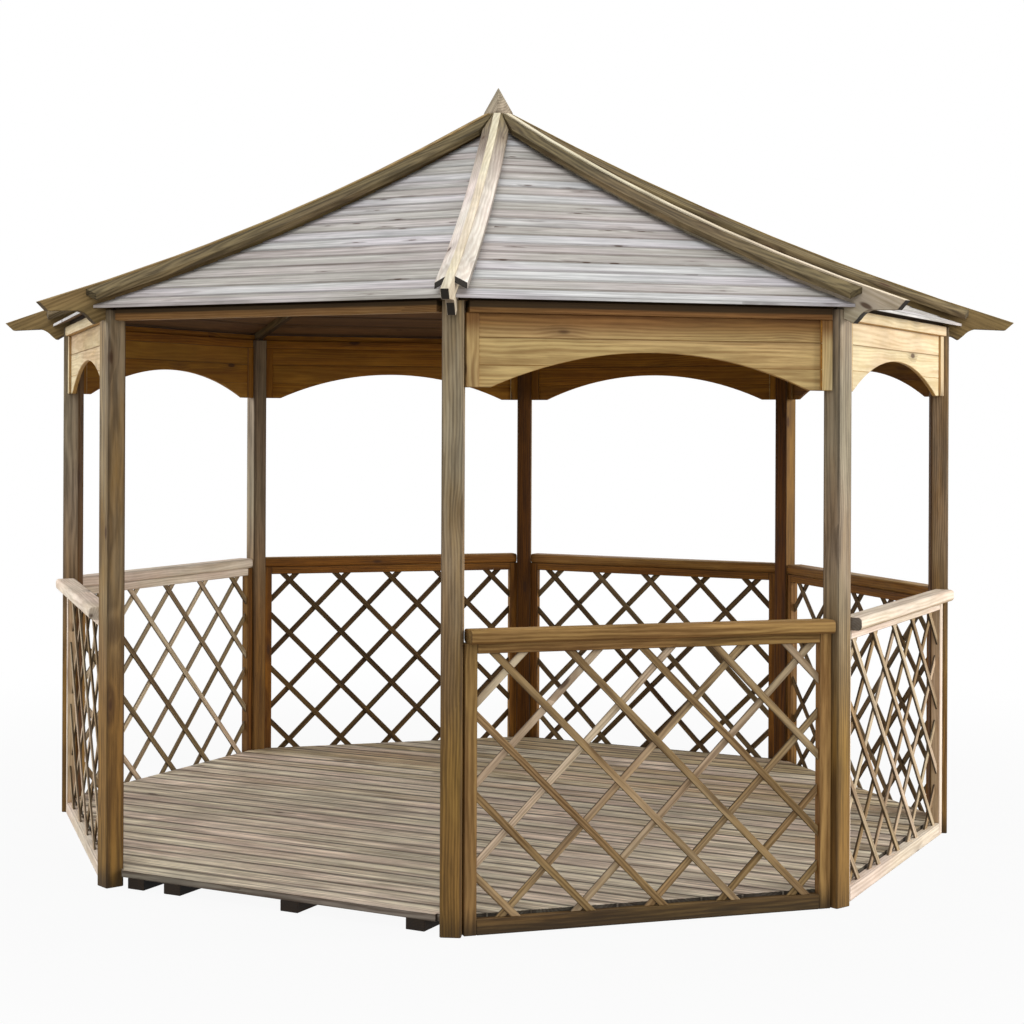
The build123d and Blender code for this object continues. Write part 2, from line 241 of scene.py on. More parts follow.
def weathered(wood, figure, fresh, bleached, contrast, bleach_rise):
    """Colour from brown to bleached, in patches that follow the grain, and how worn each place is."""
    reach = FIGURE_REACH / contrast
    light = wood.step(figure, FIGURE_MIDDLE - reach, FIGURE_MIDDLE + reach)
    patches = wood.noise(1.7, 10.0, detail=4.0, roughness=0.6)
    lift = wood.calc("MULTIPLY_ADD", wood.tone, BLEACH, wood.calc("SUBTRACT", patches, 0.65))
    worn = wood.step(lift, 0.15, 0.85)
    if bleach_rise:
        worn = wood.calc("MULTIPLY", worn, wood.step(wood.rise, *bleach_rise))
    dark = wood.mix(worn, paint(*fresh[0]), paint(*bleached[0]))
    pale = wood.mix(worn, paint(*fresh[1]), paint(*bleached[1]))
    return wood.mix(light, dark, pale), worn


def uneven(wood, colour, patchy, drift):
    """Soft blotches, a darker colour for tones below 0, which on a few pieces is painted shade, and a slow
    drift from a pinkish to a greenish cast.
    """
    stain = wood.calc("MULTIPLY_ADD", wood.blotches, patchy, 1.0 - BLOTCH_MIDDLE * patchy)
    deep = wood.calc("MINIMUM", wood.calc("ADD", wood.tone, 1.0), 1.0)
    colour = wood.scale(colour, wood.calc("MULTIPLY", stain, deep))
    slow = wood.step(wood.noise(1.1, 5.0, detail=1.0), 0.38, 0.62)
    return wood.mix(drift, colour, wood.mix(slow, PINKISH, GREENISH), "MULTIPLY")


def painted_eaves_shadow(wood, colour):
    """Painted shadow of the roof edge: a black line at the top, and brown under it that fades downwards."""
    open_face = wood.calc("SUBTRACT", 1.0, wood.attribute("shelter"))
    ragged = wood.calc("MULTIPLY_ADD", wood.ripple, BAND_RIPPLE, wood.rise)
    brown = wood.calc("MULTIPLY", wood.step(ragged, *EAVES_SHADOW_BAND), wood.step(wood.tone, *SHADOWED_TONES))
    shadowed = wood.mix(1.0, colour, EAVES_SHADOW_BROWN, "MULTIPLY")
    colour = wood.mix(wood.calc("MULTIPLY", brown, open_face), colour, shadowed)
    fine = wood.calc("MULTIPLY_ADD", wood.ripple, LINE_RIPPLE, wood.rise)
    fine = wood.calc("MULTIPLY_ADD", wood.tone, -LINE_LIFT, fine)
    line = wood.calc("MULTIPLY", wood.step(fine, *EAVES_SHADOW_LINE), wood.step(wood.tone, *LINED_TONES))
    line = wood.calc("MULTIPLY", wood.calc("MULTIPLY", line, open_face), LINE_SHADE)
    return wood.mix(line, colour, EAVES_SHADOW_BLACK)


def shaded_under_cover(wood, colour, shelter):
    """Faces under the roof get a deeper colour: partly wood that the sun never bleached, partly painted
    shade.
    """
    deep = wood.mix(1.0, colour, paint(*shelter), "MULTIPLY")
    covered_and_shaded = wood.calc("MULTIPLY", wood.attribute("shelter"), wood.step(wood.tone, *COVERED_TONES))
    return wood.mix(covered_and_shaded, colour, deep)


# %% Edges and feet
WET_SHADE = 0.85
DAMP_TONES = (0.8, 0.4)  # tones between which a foot looks damper and damper: paler pieces stay dry


def edged(wood, colour, worn, dirt, dirt_width, side, worn_side_light):
    """Dirt along the edges of each face, broken up by noise, and painted light on narrow faces: painted shade
    where the side factors are below 1, and a painted highlight where they are above 1.
    """
    side_face = wood.attribute("side_face")
    sides = wood.put("ShaderNodeSeparateXYZ", {0: wood.attribute("edge", "Vector")}).outputs
    reach = {0: side_face, 2: wood.calc("ABSOLUTE", sides["X"]), 3: wood.calc("ABSOLUTE", sides["Y"])}
    near = wood.put("ShaderNodeMix", reach).outputs[0]
    rim = wood.calc("MULTIPLY_ADD", wood.calc("SUBTRACT", wood.blotches, 0.5), dirt_width, near)
    grime = wood.calc("MULTIPLY", wood.step(rim, 1.0 - dirt_width, 1.0), dirt)
    colour = wood.mix(grime, colour, GRIME)
    # Painted light on narrow faces: a factor below 1 paints shade on them, and above 1 a highlight.
    narrow_face_light = wood.calc("MULTIPLY_ADD", worn, worn_side_light - side, side - 1.0)
    narrow_face_light = wood.calc("MULTIPLY_ADD", side_face, narrow_face_light, 1.0)
    return wood.scale(colour, narrow_face_light), grime


def damp_foot(wood, colour, damp):
    """Wood near the ground is dark with damp, up to a ragged line about this high."""
    height = wood.calc("MULTIPLY_ADD", wood.ripple, damp, wood.rise)
    wet = wood.calc("MULTIPLY", wood.step(height, damp, 0.0), WET_SHADE)
    wet = wood.calc("MULTIPLY", wet, wood.step(wood.tone, *DAMP_TONES))
    return wood.mix(wet, colour, WET_FOOT)


# %% The timber material
RELIEF = 0.0010  # depth of the grain
SHINE = 0.25
HALO_SHADE, CORE_SHADE = 0.30, 0.85


def timber(name, fresh, bleached, shelter, contrast=1.0, dirt=0.5, dirt_width=0.2, side=1.0, worn_side_light=1.0,
           knots=0.3, knot_size=1.0, damp=0.0, bleach_rise=None, eaves=False, drift=0.4, end_grain=0.6,
           patchy=0.55):
    """A wood finish. fresh and bleached are (dark, pale) pairs of colours for the streaks.

    side is the painted light on narrow faces of fresh wood, and its worn twin the same on worn wood: below 1
    a painted shade, above 1 a painted highlight. eaves adds the painted shadow under the roof edge. damp is
    how high the wet foot reaches, and bleach_rise the heights between which bleaching sets in.
    """
    wood = Wood(name)
    core, halo = knots_in(wood, knots, knot_size)
    figure = figure_of(wood, halo)
    colour, worn = weathered(wood, figure, fresh, bleached, contrast, bleach_rise)
    colour = uneven(wood, colour, patchy, drift)
    if eaves:
        colour = painted_eaves_shadow(wood, colour)
    colour = shaded_under_cover(wood, colour, shelter)
    colour = wood.mix(wood.calc("MULTIPLY", halo, HALO_SHADE), colour, KNOT)
    colour = wood.mix(wood.calc("MULTIPLY", core, CORE_SHADE), colour, KNOT)
    colour, grime = edged(wood, colour, worn, dirt, dirt_width, side, worn_side_light)
    # Dark sawn ends: end grain, and partly painted shade.
    sawn = wood.calc("MULTIPLY", wood.attribute("sawn_end"), end_grain)
    colour = wood.mix(sawn, colour, SAWN_END_AND_SHADE)
    if damp:
        colour = damp_foot(wood, colour, damp)
    height = wood.calc("MULTIPLY_ADD", wood.fibres, 0.5, figure)
    height = wood.calc("SUBTRACT", height, grime)
    bump = wood.put("ShaderNodeBump", {"Height": height, "Strength": 0.6, "Distance": RELIEF}).outputs[0]
    spans = {"Value": wood.streaks, "To Min": 0.62, "To Max": 0.85}
    rough = wood.put("ShaderNodeMapRange", spans).outputs[0]
    look = {"Base Color": colour, "Roughness": rough, "Normal": bump, "Specular IOR Level": SHINE}
    shader = wood.put("ShaderNodeBsdfPrincipled", look)
    wood.put("ShaderNodeOutputMaterial", {"Surface": shader.outputs[0]})
    return wood.material


# %% Finishes of the gazebo
POST_WOOD = timber("post_wood", fresh=((98, 72, 35), (160, 123, 64)),
                   bleached=((122, 111, 94), (188, 174, 152)), shelter=(180, 147, 100), contrast=1.2,
                   damp=0.10, dirt=0.6, dirt_width=0.28, bleach_rise=(0.5, 1.4), knots=0.4)
LATTICE_WOOD = timber("lattice_wood", fresh=((98, 72, 42), (172, 142, 98)),
                      bleached=((160, 138, 112), (226, 206, 178)), shelter=(160, 150, 128), contrast=1.2,
                      knots=0.2, side=0.3, worn_side_light=0.3, dirt=0.35)
RAIL_WOOD = timber("rail_wood", fresh=((118, 85, 43), (186, 147, 90)),
                   bleached=((208, 188, 168), (246, 231, 216)), shelter=(196, 165, 102), contrast=1.2,
                   dirt=0.45, damp=0.11, end_grain=0.8)
# This finish carries the painted shadow of the roof edge on whatever stands just under the eaves.
ARCH_WOOD = timber("arch_wood", fresh=((158, 126, 80), (214, 184, 128)),
                   bleached=((206, 182, 142), (230, 213, 180)), shelter=(208, 166, 82), contrast=1.2,
                   knots=0.35, dirt=0.35, dirt_width=0.12, eaves=True, end_grain=0.3)
ROOF_WOOD = timber("roof_wood", fresh=((150, 142, 136), (214, 209, 206)),
                   bleached=((172, 170, 174), (230, 228, 230)), shelter=(140, 104, 66), contrast=0.9,
                   knots=0.35, knot_size=0.6, dirt=0.55, dirt_width=0.34, drift=0.35, patchy=0.7)
RAFTER_WOOD = timber("rafter_wood", fresh=((118, 97, 58), (180, 154, 104)),
                     bleached=((206, 192, 164), (246, 236, 214)), shelter=(96, 74, 46), end_grain=0.97)
CAP_WOOD = timber("cap_wood", fresh=((74, 62, 40), (136, 119, 86)),
                  bleached=((214, 200, 190), (244, 235, 228)), shelter=(110, 84, 60), contrast=1.4,
                  knots=0.6, side=1.2, worn_side_light=0.5, end_grain=0.97, bleach_rise=(2.95, 2.4))
DECK_WOOD = timber("deck_wood", fresh=((138, 116, 87), (212, 190, 154)),
                   bleached=((170, 152, 134), (248, 234, 214)), shelter=(110, 90, 66), contrast=1.7,
                   dirt=0.7, dirt_width=0.35, side=0.3, worn_side_light=0.3, knots=0.15, drift=0.5, end_grain=0.9,
                   patchy=1.1)
# The bearers' near-black colour is painted shade under the floor.
BEARER_SHADE_WOOD = timber("bearer_wood", fresh=((30, 22, 15), (58, 44, 30)),
                     bleached=((30, 22, 15), (58, 44, 30)), shelter=(90, 90, 90))
print(len(bpy.data.materials), "finishes")


# %% [markdown]
# ## Every piece of wood gets its own grain
# A joined mesh of many boards still has each board as an island of its own. For each island we find the long
# axis and the broad face, and write coordinates along them, moved by a random amount, so that no two boards
# match. Where two edges or two faces are equally good, the one with the lower number wins, so every run
# gives the same grain. The same pass notes what a finish can't find out by itself: which faces are sawn ends
# or narrow sides, how near a point is to the sides of its face, and how well the roof shelters and shades
# each face, which sets both the unbleached colour and the painted shade under the roof.

# %% Islands
def islands(mesh):
    """Lists of vertices, one list for each loose part of a bmesh."""
    found, seen = [], set()
    for start in mesh.verts:
        if start.index in seen:
            continue
        seen.add(start.index)
        stack, island = [start], []
        while stack:
            vertex = stack.pop()
            island.append(vertex)
            for edge in vertex.link_edges:
                other = edge.other_vert(vertex)
                if other.index not in seen:
                    seen.add(other.index)
                    stack.append(other)
        found.append(island)
    return found


def middle_of(island):
    return sum((v.co for v in island), Vector()) / len(island)


# %% The way that a board runs, and its broad side
LONG_EDGE = 0.6  # an edge longer than this share of the board shows its direction better than a diagonal
SAME_WAY = 0.9  # cosine past which two faces count as facing the same way
FLANK = 0.5  # cosine below which a face isn't an end
LARGEST = 12  # flanks that are tried


def long_axis(island, centre):
    """The direction between the two points of a piece that are furthest apart, near enough for a board."""
    first = max(island, key=lambda v: (v.co - centre).length_squared)
    second = max(island, key=lambda v: (v.co - first.co).length_squared)
    edges = {edge for v in island for edge in v.link_edges}
    longest = max(edges, key=lambda edge: (round(edge.calc_length(), 5), -edge.index))
    span = second.co - first.co
    if longest.calc_length() > LONG_EDGE * span.length:
        span = longest.verts[1].co - longest.verts[0].co
    return span.normalized()


def broad_side(faces, along):
    """The direction that most of a piece's surface faces, apart from its ends."""
    def surface(candidate):
        way = candidate.normal
        return round(sum(face.calc_area() for face in faces if abs(face.normal.dot(way)) > SAME_WAY), 6)
    flanks = [face for face in faces if abs(face.normal.dot(along)) < FLANK]
    by_size = sorted(flanks, key=lambda face: (-round(face.calc_area(), 6), face.index))
    return max(by_size[:LARGEST], key=surface).normal.copy()


# %% Shelter, painted shade and sawn ends
UPRIGHT_SHADE_AND_SHELTER = 0.3  # of an upright face that looks sideways
UNDER_SHADE_AND_SHELTER = 0.8  # of a face that looks down: shelter, and painted shade under things
PALE = 1.3  # from this tone on, a piece is pale all over
END_DARK, PALE_END_DARK = 0.4, 0.1


def shade_and_shelter_of(face, cover):
    """How well the roof shelters and shades a face, for unbleached colour and painted shade: 0 in the open,
    and 1 where it looks inward or down.
    """
    middle = face.calc_center_median()
    outward = Vector((middle.x, middle.y, 0)).normalized()
    inward = max(0.0, UPRIGHT_SHADE_AND_SHELTER * (1 - abs(face.normal.z)) - face.normal.dot(outward))
    under = max(0.0, -face.normal.z)
    return min(1.0, max(inward + UNDER_SHADE_AND_SHELTER * under, cover * (1 - max(0.0, face.normal.z))))


def end_darkness(tone):
    """Sawn ends soak up rain and dirt, and the more so the longer a piece has been out; the near-black is
    partly painted shade, and pieces that low sun reaches keep pale ends.
    """
    return min(1.0, END_DARK + max(0.0, tone)) if tone < PALE else PALE_END_DARK


# %% Mark the grain
SHIFTS = ((0, 60), (-0.05, 0.05), (-0.09, -0.02))  # limits of the random move along, across and into the tree
END_FACE = 0.7  # cosine to the grain past which a face is a sawn end
SIDE_FACE = 0.8  # cosine to the wide way past which a face is a narrow side


def mark_grain(piece, seed, tones, spread, straight, cover):
    """Write the attributes that the timber finish reads on a finished mesh."""
    dice = random.Random(seed)
    mesh = bmesh.new()
    mesh.from_mesh(piece.data)
    mesh.edges.index_update()
    mesh.faces.index_update()
    grain = mesh.verts.layers.float_vector.new("grain")
    tone = mesh.verts.layers.float.new("tone")
    edge = mesh.verts.layers.float_vector.new("edge")
    shelter = mesh.faces.layers.float.new("shelter")
    sawn = mesh.faces.layers.float.new("sawn_end")
    side_face = mesh.faces.layers.float.new("side_face")
    for island in islands(mesh):
        centre = middle_of(island)
        along = long_axis(island, centre)
        faces = sorted({face for v in island for face in v.link_faces}, key=lambda face: face.index)
        broad = broad_side(faces, along)
        thick = (broad - along * broad.dot(along)).normalized()
        wide = thick.cross(along)
        shift = Vector([dice.uniform(*limits) for limits in SHIFTS])
        reach = [max(abs((v.co - centre).dot(way)) for v in island) for way in (wide, thick)]
        light = tones(centre) + dice.uniform(-spread, spread)
        for v in island:
            away = v.co - centre
            v[grain] = Vector((away.dot(along), away.dot(wide), away.dot(thick))) + shift
            v[tone] = light
            if straight:
                v[edge] = Vector((away.dot(wide) / reach[0], away.dot(thick) / reach[1], 0))
        for face in faces:
            face[shelter] = shade_and_shelter_of(face, cover)
            face[sawn] = end_darkness(light) if abs(face.normal.dot(along)) > END_FACE else 0.0
            face[side_face] = 1.0 if abs(face.normal.dot(wide)) > SIDE_FACE else 0.0
    mesh.to_mesh(piece.data)
    mesh.free()


# %% [markdown]
# ## From a tree or a solid to a finished piece
# Modifiers stay live only while we build. The evaluated mesh is read back as plain geometry, gets its grain
# and its finish, and rides on the building. The bevel rounds every arris a little, as a plane or a year
# outside does, and that thin bright line is what makes a board read as solid wood.

# %% Finish a piece
BEVEL_ANGLE = math.radians(30)  # only edges that turn further than this are rounded


def even(centre):
    return 0.35


def finish_piece(piece, material, replaces, arris=0.0015, seed=1, tones=even, spread=0.12,
                 straight=True, cover=0.0):
    """Round the arrises, mark the grain, and hand the piece to the frame.

    tones gives the tone of a board from its centre, and spread is how far boards stray from it. Timbers that
    aren't straight get no dirt along their edges. cover is the least shelter, and so painted shade, of an
    upright face.
    """
    bevel = piece.modifiers.new("arris", "BEVEL")
    bevel.width = arris
    bevel.segments = 1
    bevel.limit_method = "ANGLE"
    bevel.angle_limit = BEVEL_ANGLE
    bpy.context.view_layer.update()
    evaluated = piece.evaluated_get(bpy.context.evaluated_depsgraph_get())
    plain = bpy.data.meshes.new_from_object(evaluated)
    piece.modifiers.clear()
    piece.data = plain
    piece.data.name = piece.name
    piece.data.materials.clear()
    piece.data.materials.append(material)
    mark_grain(piece, seed, tones, spread, straight, cover)
    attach(piece, "root")
    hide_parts(*replaces)
    print(piece.name, len(piece.data.polygons), "faces")


# %% Pieces from meshes and from solids
WELD = 1e-5  # corners nearer to each other than this are one corner
FLAT = math.radians(1)  # faces that turn by less than this are one face


def new_piece(name, mesh):
    piece = bpy.data.objects.new(name, mesh)
    bpy.context.scene.collection.objects.link(piece)
    return piece


def piece_from(name, mesh):
    """A new piece with the shape of a bmesh, which is used up."""
    data = bpy.data.meshes.new(name)
    mesh.to_mesh(data)
    mesh.free()
    return new_piece(name, data)


def solid_copy(name, *nodes):
    """A clean copy of CAD nodes: corners merged, and flat faces made whole again."""
    mesh = bmesh.new()
    for node in nodes:
        mesh.from_mesh(NODES[node].data)
    bmesh.ops.remove_doubles(mesh, verts=mesh.verts, dist=WELD)
    bmesh.ops.dissolve_limit(mesh, angle_limit=FLAT, verts=mesh.verts, edges=mesh.edges)
    return piece_from(name, mesh)


# %% [markdown]
# ## Posts, rafters, caps and rails
# These solids already have their true outline, so a clean copy with softened arrises and grain is enough. No
# two sides of an old building weather alike, so each piece gets its tone from the bay or the corner where it
# stands, and some of these tones also carry painted light and shade. Bays are counted from the entry,
# anticlockwise from above.

# %% Tones by place
def place_of(centre):
    """Turn from the entry towards +X, in bays: whole numbers are middles of bays, and halves are corners."""
    return math.atan2(centre.x, -centre.y) / TURN


def by_bay(*values):
    """Tones for the bays in order, starting with the entry."""
    return lambda centre: values[round(place_of(centre)) % SIDES]


def by_corner(*values):
    """Tones for the corners in order, starting with the one right of the entry, seen from outside."""
    return lambda centre: values[math.floor(place_of(centre)) % SIDES]


# %% Posts and rails
posts = [f"post_{number}" for number in range(1, SIDES + 1)]
finish_piece(solid_copy("posts", *posts), POST_WOOD, posts, arris=0.002, seed=11,
             tones=by_corner(0.55, 0.70, 0.62, 0.15, 0.10, 1.28, 0.65, 0.50))
handrails = [f"handrail_{bay}" for bay in SIDE_BAYS]
finish_piece(solid_copy("handrails", *handrails), RAIL_WOOD, handrails, arris=0.002, seed=12,
             tones=by_bay(0.3, 0.1, 1.0, 0.3, 0.3, 0.1, 1.6, 1.6))
finish_piece(solid_copy("head_boards", "head_rails"), ARCH_WOOD, ["head_rails"], seed=13,
             tones=by_bay(0.4, 0.1, 1.1, 0.1, 0.1, 0.1, 0.1, 1.1))
finish_piece(solid_copy("eaves_strips", "eaves_boards"), ARCH_WOOD, ["eaves_boards"], seed=19)
finish_piece(solid_copy("rafters", "hip_rafters"), RAFTER_WOOD, ["hip_rafters"], seed=14,
             tones=by_corner(0.9, 0.65, 0.3, 0.3, 0.3, 0.3, 0.0, 0.1), straight=False, cover=0.3)

# %% [markdown]
# ## Cap boards
# Two boards cover each hip, one on either side of the rafter, and keep the rain out of the joint between two
# roof panels. The solids are a little wider than the finished boards. So the outer edge of each board is
# planed back towards its rafter, and up along the board's own slope, and the inner edge stays where it is.

# %% Trim the caps
CAP_SHARE = 0.83  # of the solid's width that the finished cap keeps
CAP_SLOPE = 0.51  # fall of a cap for each metre away from its rafter
RAFTER_HALF = 0.014


def trim_caps(piece):
    """Plane the outer edge of each cap back towards its rafter, along the cap's own slope."""
    mesh = bmesh.new()
    mesh.from_mesh(piece.data)
    for island in islands(mesh):
        turn = (math.floor(place_of(middle_of(island))) + 0.5) * TURN
        side = Vector((math.cos(turn), math.sin(turn), 0))
        for v in island:
            reach = v.co.dot(side)
            spare = max(0.0, abs(reach) - RAFTER_HALF) * (1 - CAP_SHARE)
            v.co -= side * math.copysign(spare, reach)
            v.co.z += spare * CAP_SLOPE
    mesh.to_mesh(piece.data)
    mesh.free()


# %% Caps, hub, finial and bearers
cap_boards = solid_copy("cap_boards", "hip_caps")
trim_caps(cap_boards)
# The tones by corner are partly painted light: the cap right of the entry is pale partly as if lit, and the
# caps on the corners beside it dark partly as if shaded.
finish_piece(cap_boards, CAP_WOOD, ["hip_caps"], arris=0.003, seed=15,
             tones=by_corner(1.0, 0.15, 0.1, 0.3, 0.3, 0.3, 0.1, 0.1), straight=False)
finish_piece(solid_copy("hub_block", "roof_hub"), RAFTER_WOOD, ["roof_hub"], seed=16)
finish_piece(solid_copy("finial_block", "finial"), POST_WOOD, ["finial"], arris=0.002, seed=17,
             tones=lambda centre: 0.85)
finish_piece(solid_copy("bearers", "floor_bearers"), BEARER_SHADE_WOOD, ["floor_bearers"], seed=18)


# %% [markdown]
# ## Geometry Nodes: a tree with named inputs
# Boards and slats repeat, so a node tree makes them. The tree is built in the script: its interface lists
# the sizes, and a modifier on an empty mesh gives them their values through each socket's identifier.

# %% Tree helpers
def new_tree(name, sizes):
    """A Geometry Nodes tree with a geometry output and one named input for each size."""
    tree = bpy.data.node_groups.new(name, "GeometryNodeTree")
    for label, value in sizes.items():
        kind = "NodeSocketInt" if isinstance(value, int) else "NodeSocketFloat"
        if isinstance(value, bpy.types.Object):
            kind = "NodeSocketObject"
        tree.interface.new_socket(label, in_out="INPUT", socket_type=kind)
    tree.interface.new_socket("Geometry", in_out="OUTPUT", socket_type="NodeSocketGeometry")
    return tree, put(tree, "NodeGroupInput").outputs


def close_tree(tree, geometry, material):
    """Make the instances real, give them their finish and end the tree."""
    real = put(tree, "GeometryNodeRealizeInstances", {0: geometry}).outputs[0]
    painted = put(tree, "GeometryNodeSetMaterial", {"Geometry": real, "Material": material}).outputs[0]
    put(tree, "NodeGroupOutput", {0: painted})


def grow(name, tree, sizes):
    """An object whose mesh is made by the tree, with the given sizes."""
    piece = new_piece(name, bpy.data.meshes.new(name))
    modifier = piece.modifiers.new(name, "NODES")
    modifier.node_group = tree
    for item in tree.interface.items_tree:
        if item.in_out == "INPUT":
            modifier[item.identifier] = sizes[item.name]
    return piece


# %% What the trees share
def point(tree, **parts):
    """A vector from its X, Y and Z, which are 0 where they aren't given."""
    return put(tree, "ShaderNodeCombineXYZ", parts).outputs[0]


def row_of(tree, piece, count, first, step, rotation=(0, 0, 0)):
    """Real copies of a piece in a row: how many, where the first one goes, and the step to the next."""
    line = {"Count": count, "Start Location": first, "Offset": step}
    places = put(tree, "GeometryNodeMeshLine", line).outputs[0]
    copies = {"Points": places, "Instance": piece, "Rotation": rotation}
    copies = put(tree, "GeometryNodeInstanceOnPoints", copies).outputs[0]
    return put(tree, "GeometryNodeRealizeInstances", {0: copies}).outputs[0]


def common(tree, first, second):
    """What two solids have in common."""
    cut = put(tree, "GeometryNodeMeshBoolean", operation="INTERSECT", solver="EXACT")
    tree.links.new(first, cut.inputs["Mesh 2"])
    tree.links.new(second, cut.inputs["Mesh 2"])
    return cut.outputs[0]


def around(tree, geometry, first, count):
    """Copies of a bay turned about the middle of the building."""
    line = put(tree, "GeometryNodeMeshLine", {"Count": count, "Offset": (0, 0, 0)}).outputs[0]
    number = math_node(tree, "ADD", put(tree, "GeometryNodeInputIndex").outputs[0], first)
    turn = point(tree, Z=math_node(tree, "MULTIPLY", number, TURN))
    turned = {"Points": line, "Instance": geometry, "Rotation": turn}
    return put(tree, "GeometryNodeInstanceOnPoints", turned).outputs[0]


# %% [markdown]
# ## Floor boards
# The floor is a run of boards parallel to the entry, with open joints. The tree lays long strips side by
# side and keeps only what lies inside the floor's solid, so the boards end on the eight-sided outline and
# fit round the posts without any measuring. The sun comes in over the entry, so the boards there are paler
# than those at the back.

# %% Lay the floor
FLOOR_PITCH = 0.107
FRONT_JOINT = -1.677  # between the first board and the second
TRIMMED = 0.1  # how much longer the strips are than the floor, and how deep, before they are cut
floor_solid = solid_copy("floor_solid", "deck")
floor_sizes = {
    "Floor": floor_solid,
    "Boards": 34,
    "Pitch": FLOOR_PITCH,
    "Joint": 0.004,
    "Front Edge": FRONT_JOINT - FLOOR_PITCH,
    "Length": 2 * deck_high.x + TRIMMED,
    "Middle Height": (deck_low.z + deck_high.z) / 2,
    "Depth": TRIMMED,
}


def floor_tree():
    tree, size = new_tree("floor_boards", floor_sizes)
    width = math_node(tree, "SUBTRACT", size["Pitch"], size["Joint"])
    strip_size = point(tree, X=size["Length"], Y=width, Z=size["Depth"])
    strip = put(tree, "GeometryNodeMeshCube", {0: strip_size}).outputs[0]
    start = math_node(tree, "MULTIPLY_ADD", size["Pitch"], 0.5, size["Front Edge"])
    first = point(tree, Y=start, Z=size["Middle Height"])
    strips = row_of(tree, strip, size["Boards"], first, point(tree, Y=size["Pitch"]))
    solid = put(tree, "GeometryNodeObjectInfo", {"Object": size["Floor"]}).outputs["Geometry"]
    close_tree(tree, common(tree, strips, solid), DECK_WOOD)
    return tree


def floor_tone(centre):
    """Pale where the sun comes in over the entry, and browner towards the back."""
    return 0.88 - 0.35 * max(0.0, centre.y + 0.3)


floor = grow("floor_boards", floor_tree(), floor_sizes)
finish_piece(floor, DECK_WOOD, ["deck"], arris=0.002, seed=21, spread=0.3, tones=floor_tone)
bpy.data.objects.remove(floor_solid)

# %% [markdown]
# ## Roof boards
# The roof is boarded in courses that run level round the building. Each course starts as one small cube. A
# formula then moves its corners: along the slope to its place on the curve, and sideways until its ends meet
# the rafters. Only the eight corners move, so each board stays as straight as a real one. The curve is the
# arc of the rafters' top edge, given by its radius and its centre, and the courses widen a little downhill.

# %% Sizes of the roof boards
COUNTED_FROM = 4  # the joints are counted from this one, so those above it have negative numbers
roof_low, roof_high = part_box("roof_panel_1")
roof_sizes = {
    "Courses": 22,
    "Rim": -roof_low.y,
    "Top": -roof_high.y,
    "Fourth Joint": 0.262,
    "Pitch": 0.062,
    "Growth": 0.00122,
    "Joint": 0.0015,
    "Thickness": 0.012,
    "Lap": 0.003,
    "Rafter Half": RAFTER_HALF,
    "Curve Radius": 11.6238,
    "Curve Out": 5.6056,
    "Curve Height": 13.1460,
    "Drop": 0.072,
}
print("courses run from", round(roof_sizes["Rim"], 3), "in to", round(roof_sizes["Top"], 3))


# %% One cube for each course
def course_cubes(tree, size):
    """A small cube for each course, whose corners carry the number of the course."""
    line = {"Count": size["Courses"], "Offset": (0, 0, 0)}
    points = put(tree, "GeometryNodeMeshLine", line).outputs[0]
    index = put(tree, "GeometryNodeInputIndex").outputs[0]
    stored = {"Geometry": points, "Name": "course", "Value": index}
    points = put(tree, "GeometryNodeStoreNamedAttribute", stored, data_type="FLOAT").outputs[0]
    cube = put(tree, "GeometryNodeMeshCube", {0: (1, 1, 1)}).outputs[0]
    boards = put(tree, "GeometryNodeInstanceOnPoints", {"Points": points, "Instance": cube}).outputs[0]
    return put(tree, "GeometryNodeRealizeInstances", {0: boards}).outputs[0]


# %% The formula for the corners
def roof_formula(tree, size):
    """Where a corner of a cube goes: across the bay, out from the middle of the building, and up."""
    def calc(operation, *values):
        return math_node(tree, operation, *values)

    def joint_at(number):
        """Distance out from the middle of the building to a joint."""
        square = calc("MULTIPLY", calc("MULTIPLY", number, number), size["Growth"])
        return calc("ADD", calc("MULTIPLY_ADD", number, size["Pitch"], size["Fourth Joint"]), square)

    named = put(tree, "GeometryNodeInputNamedAttribute", {"Name": "course"}, data_type="FLOAT")
    place = put(tree, "GeometryNodeInputPosition").outputs[0]
    corner = put(tree, "ShaderNodeSeparateXYZ", {0: place}).outputs
    # out: between the two joints of the course, and never past the rim or the top
    number = calc("SUBTRACT", named.outputs[0], COUNTED_FROM)
    upper = calc("ADD", joint_at(number), size["Joint"])
    lower = joint_at(calc("ADD", number, 1.0))
    share = calc("ADD", corner["Y"], 0.5)
    out = calc("MULTIPLY_ADD", share, calc("SUBTRACT", lower, upper), upper)
    out = calc("MAXIMUM", calc("MINIMUM", out, size["Rim"]), size["Top"])
    # up: on the arc, with each lower edge a little proud of the next board
    run = calc("SUBTRACT", calc("DIVIDE", out, math.cos(HALF_TURN)), size["Curve Out"])
    radius_square = calc("MULTIPLY", size["Curve Radius"], size["Curve Radius"])
    fall = calc("SQRT", calc("SUBTRACT", radius_square, calc("MULTIPLY", run, run)))
    height = calc("SUBTRACT", calc("SUBTRACT", size["Curve Height"], fall), size["Drop"])
    height = calc("MULTIPLY_ADD", share, size["Lap"], height)
    depth = calc("MULTIPLY", calc("SUBTRACT", 0.5, corner["Z"]), size["Thickness"])
    height = calc("SUBTRACT", height, depth)
    # across: to the sides of the two rafters
    side = calc("MULTIPLY", out, math.tan(HALF_TURN))
    side = calc("SUBTRACT", side, calc("DIVIDE", size["Rafter Half"], math.cos(HALF_TURN)))
    side = calc("MULTIPLY", calc("MULTIPLY", side, 2.0), corner["X"])
    return point(tree, X=side, Y=calc("MULTIPLY", out, -1.0), Z=height)


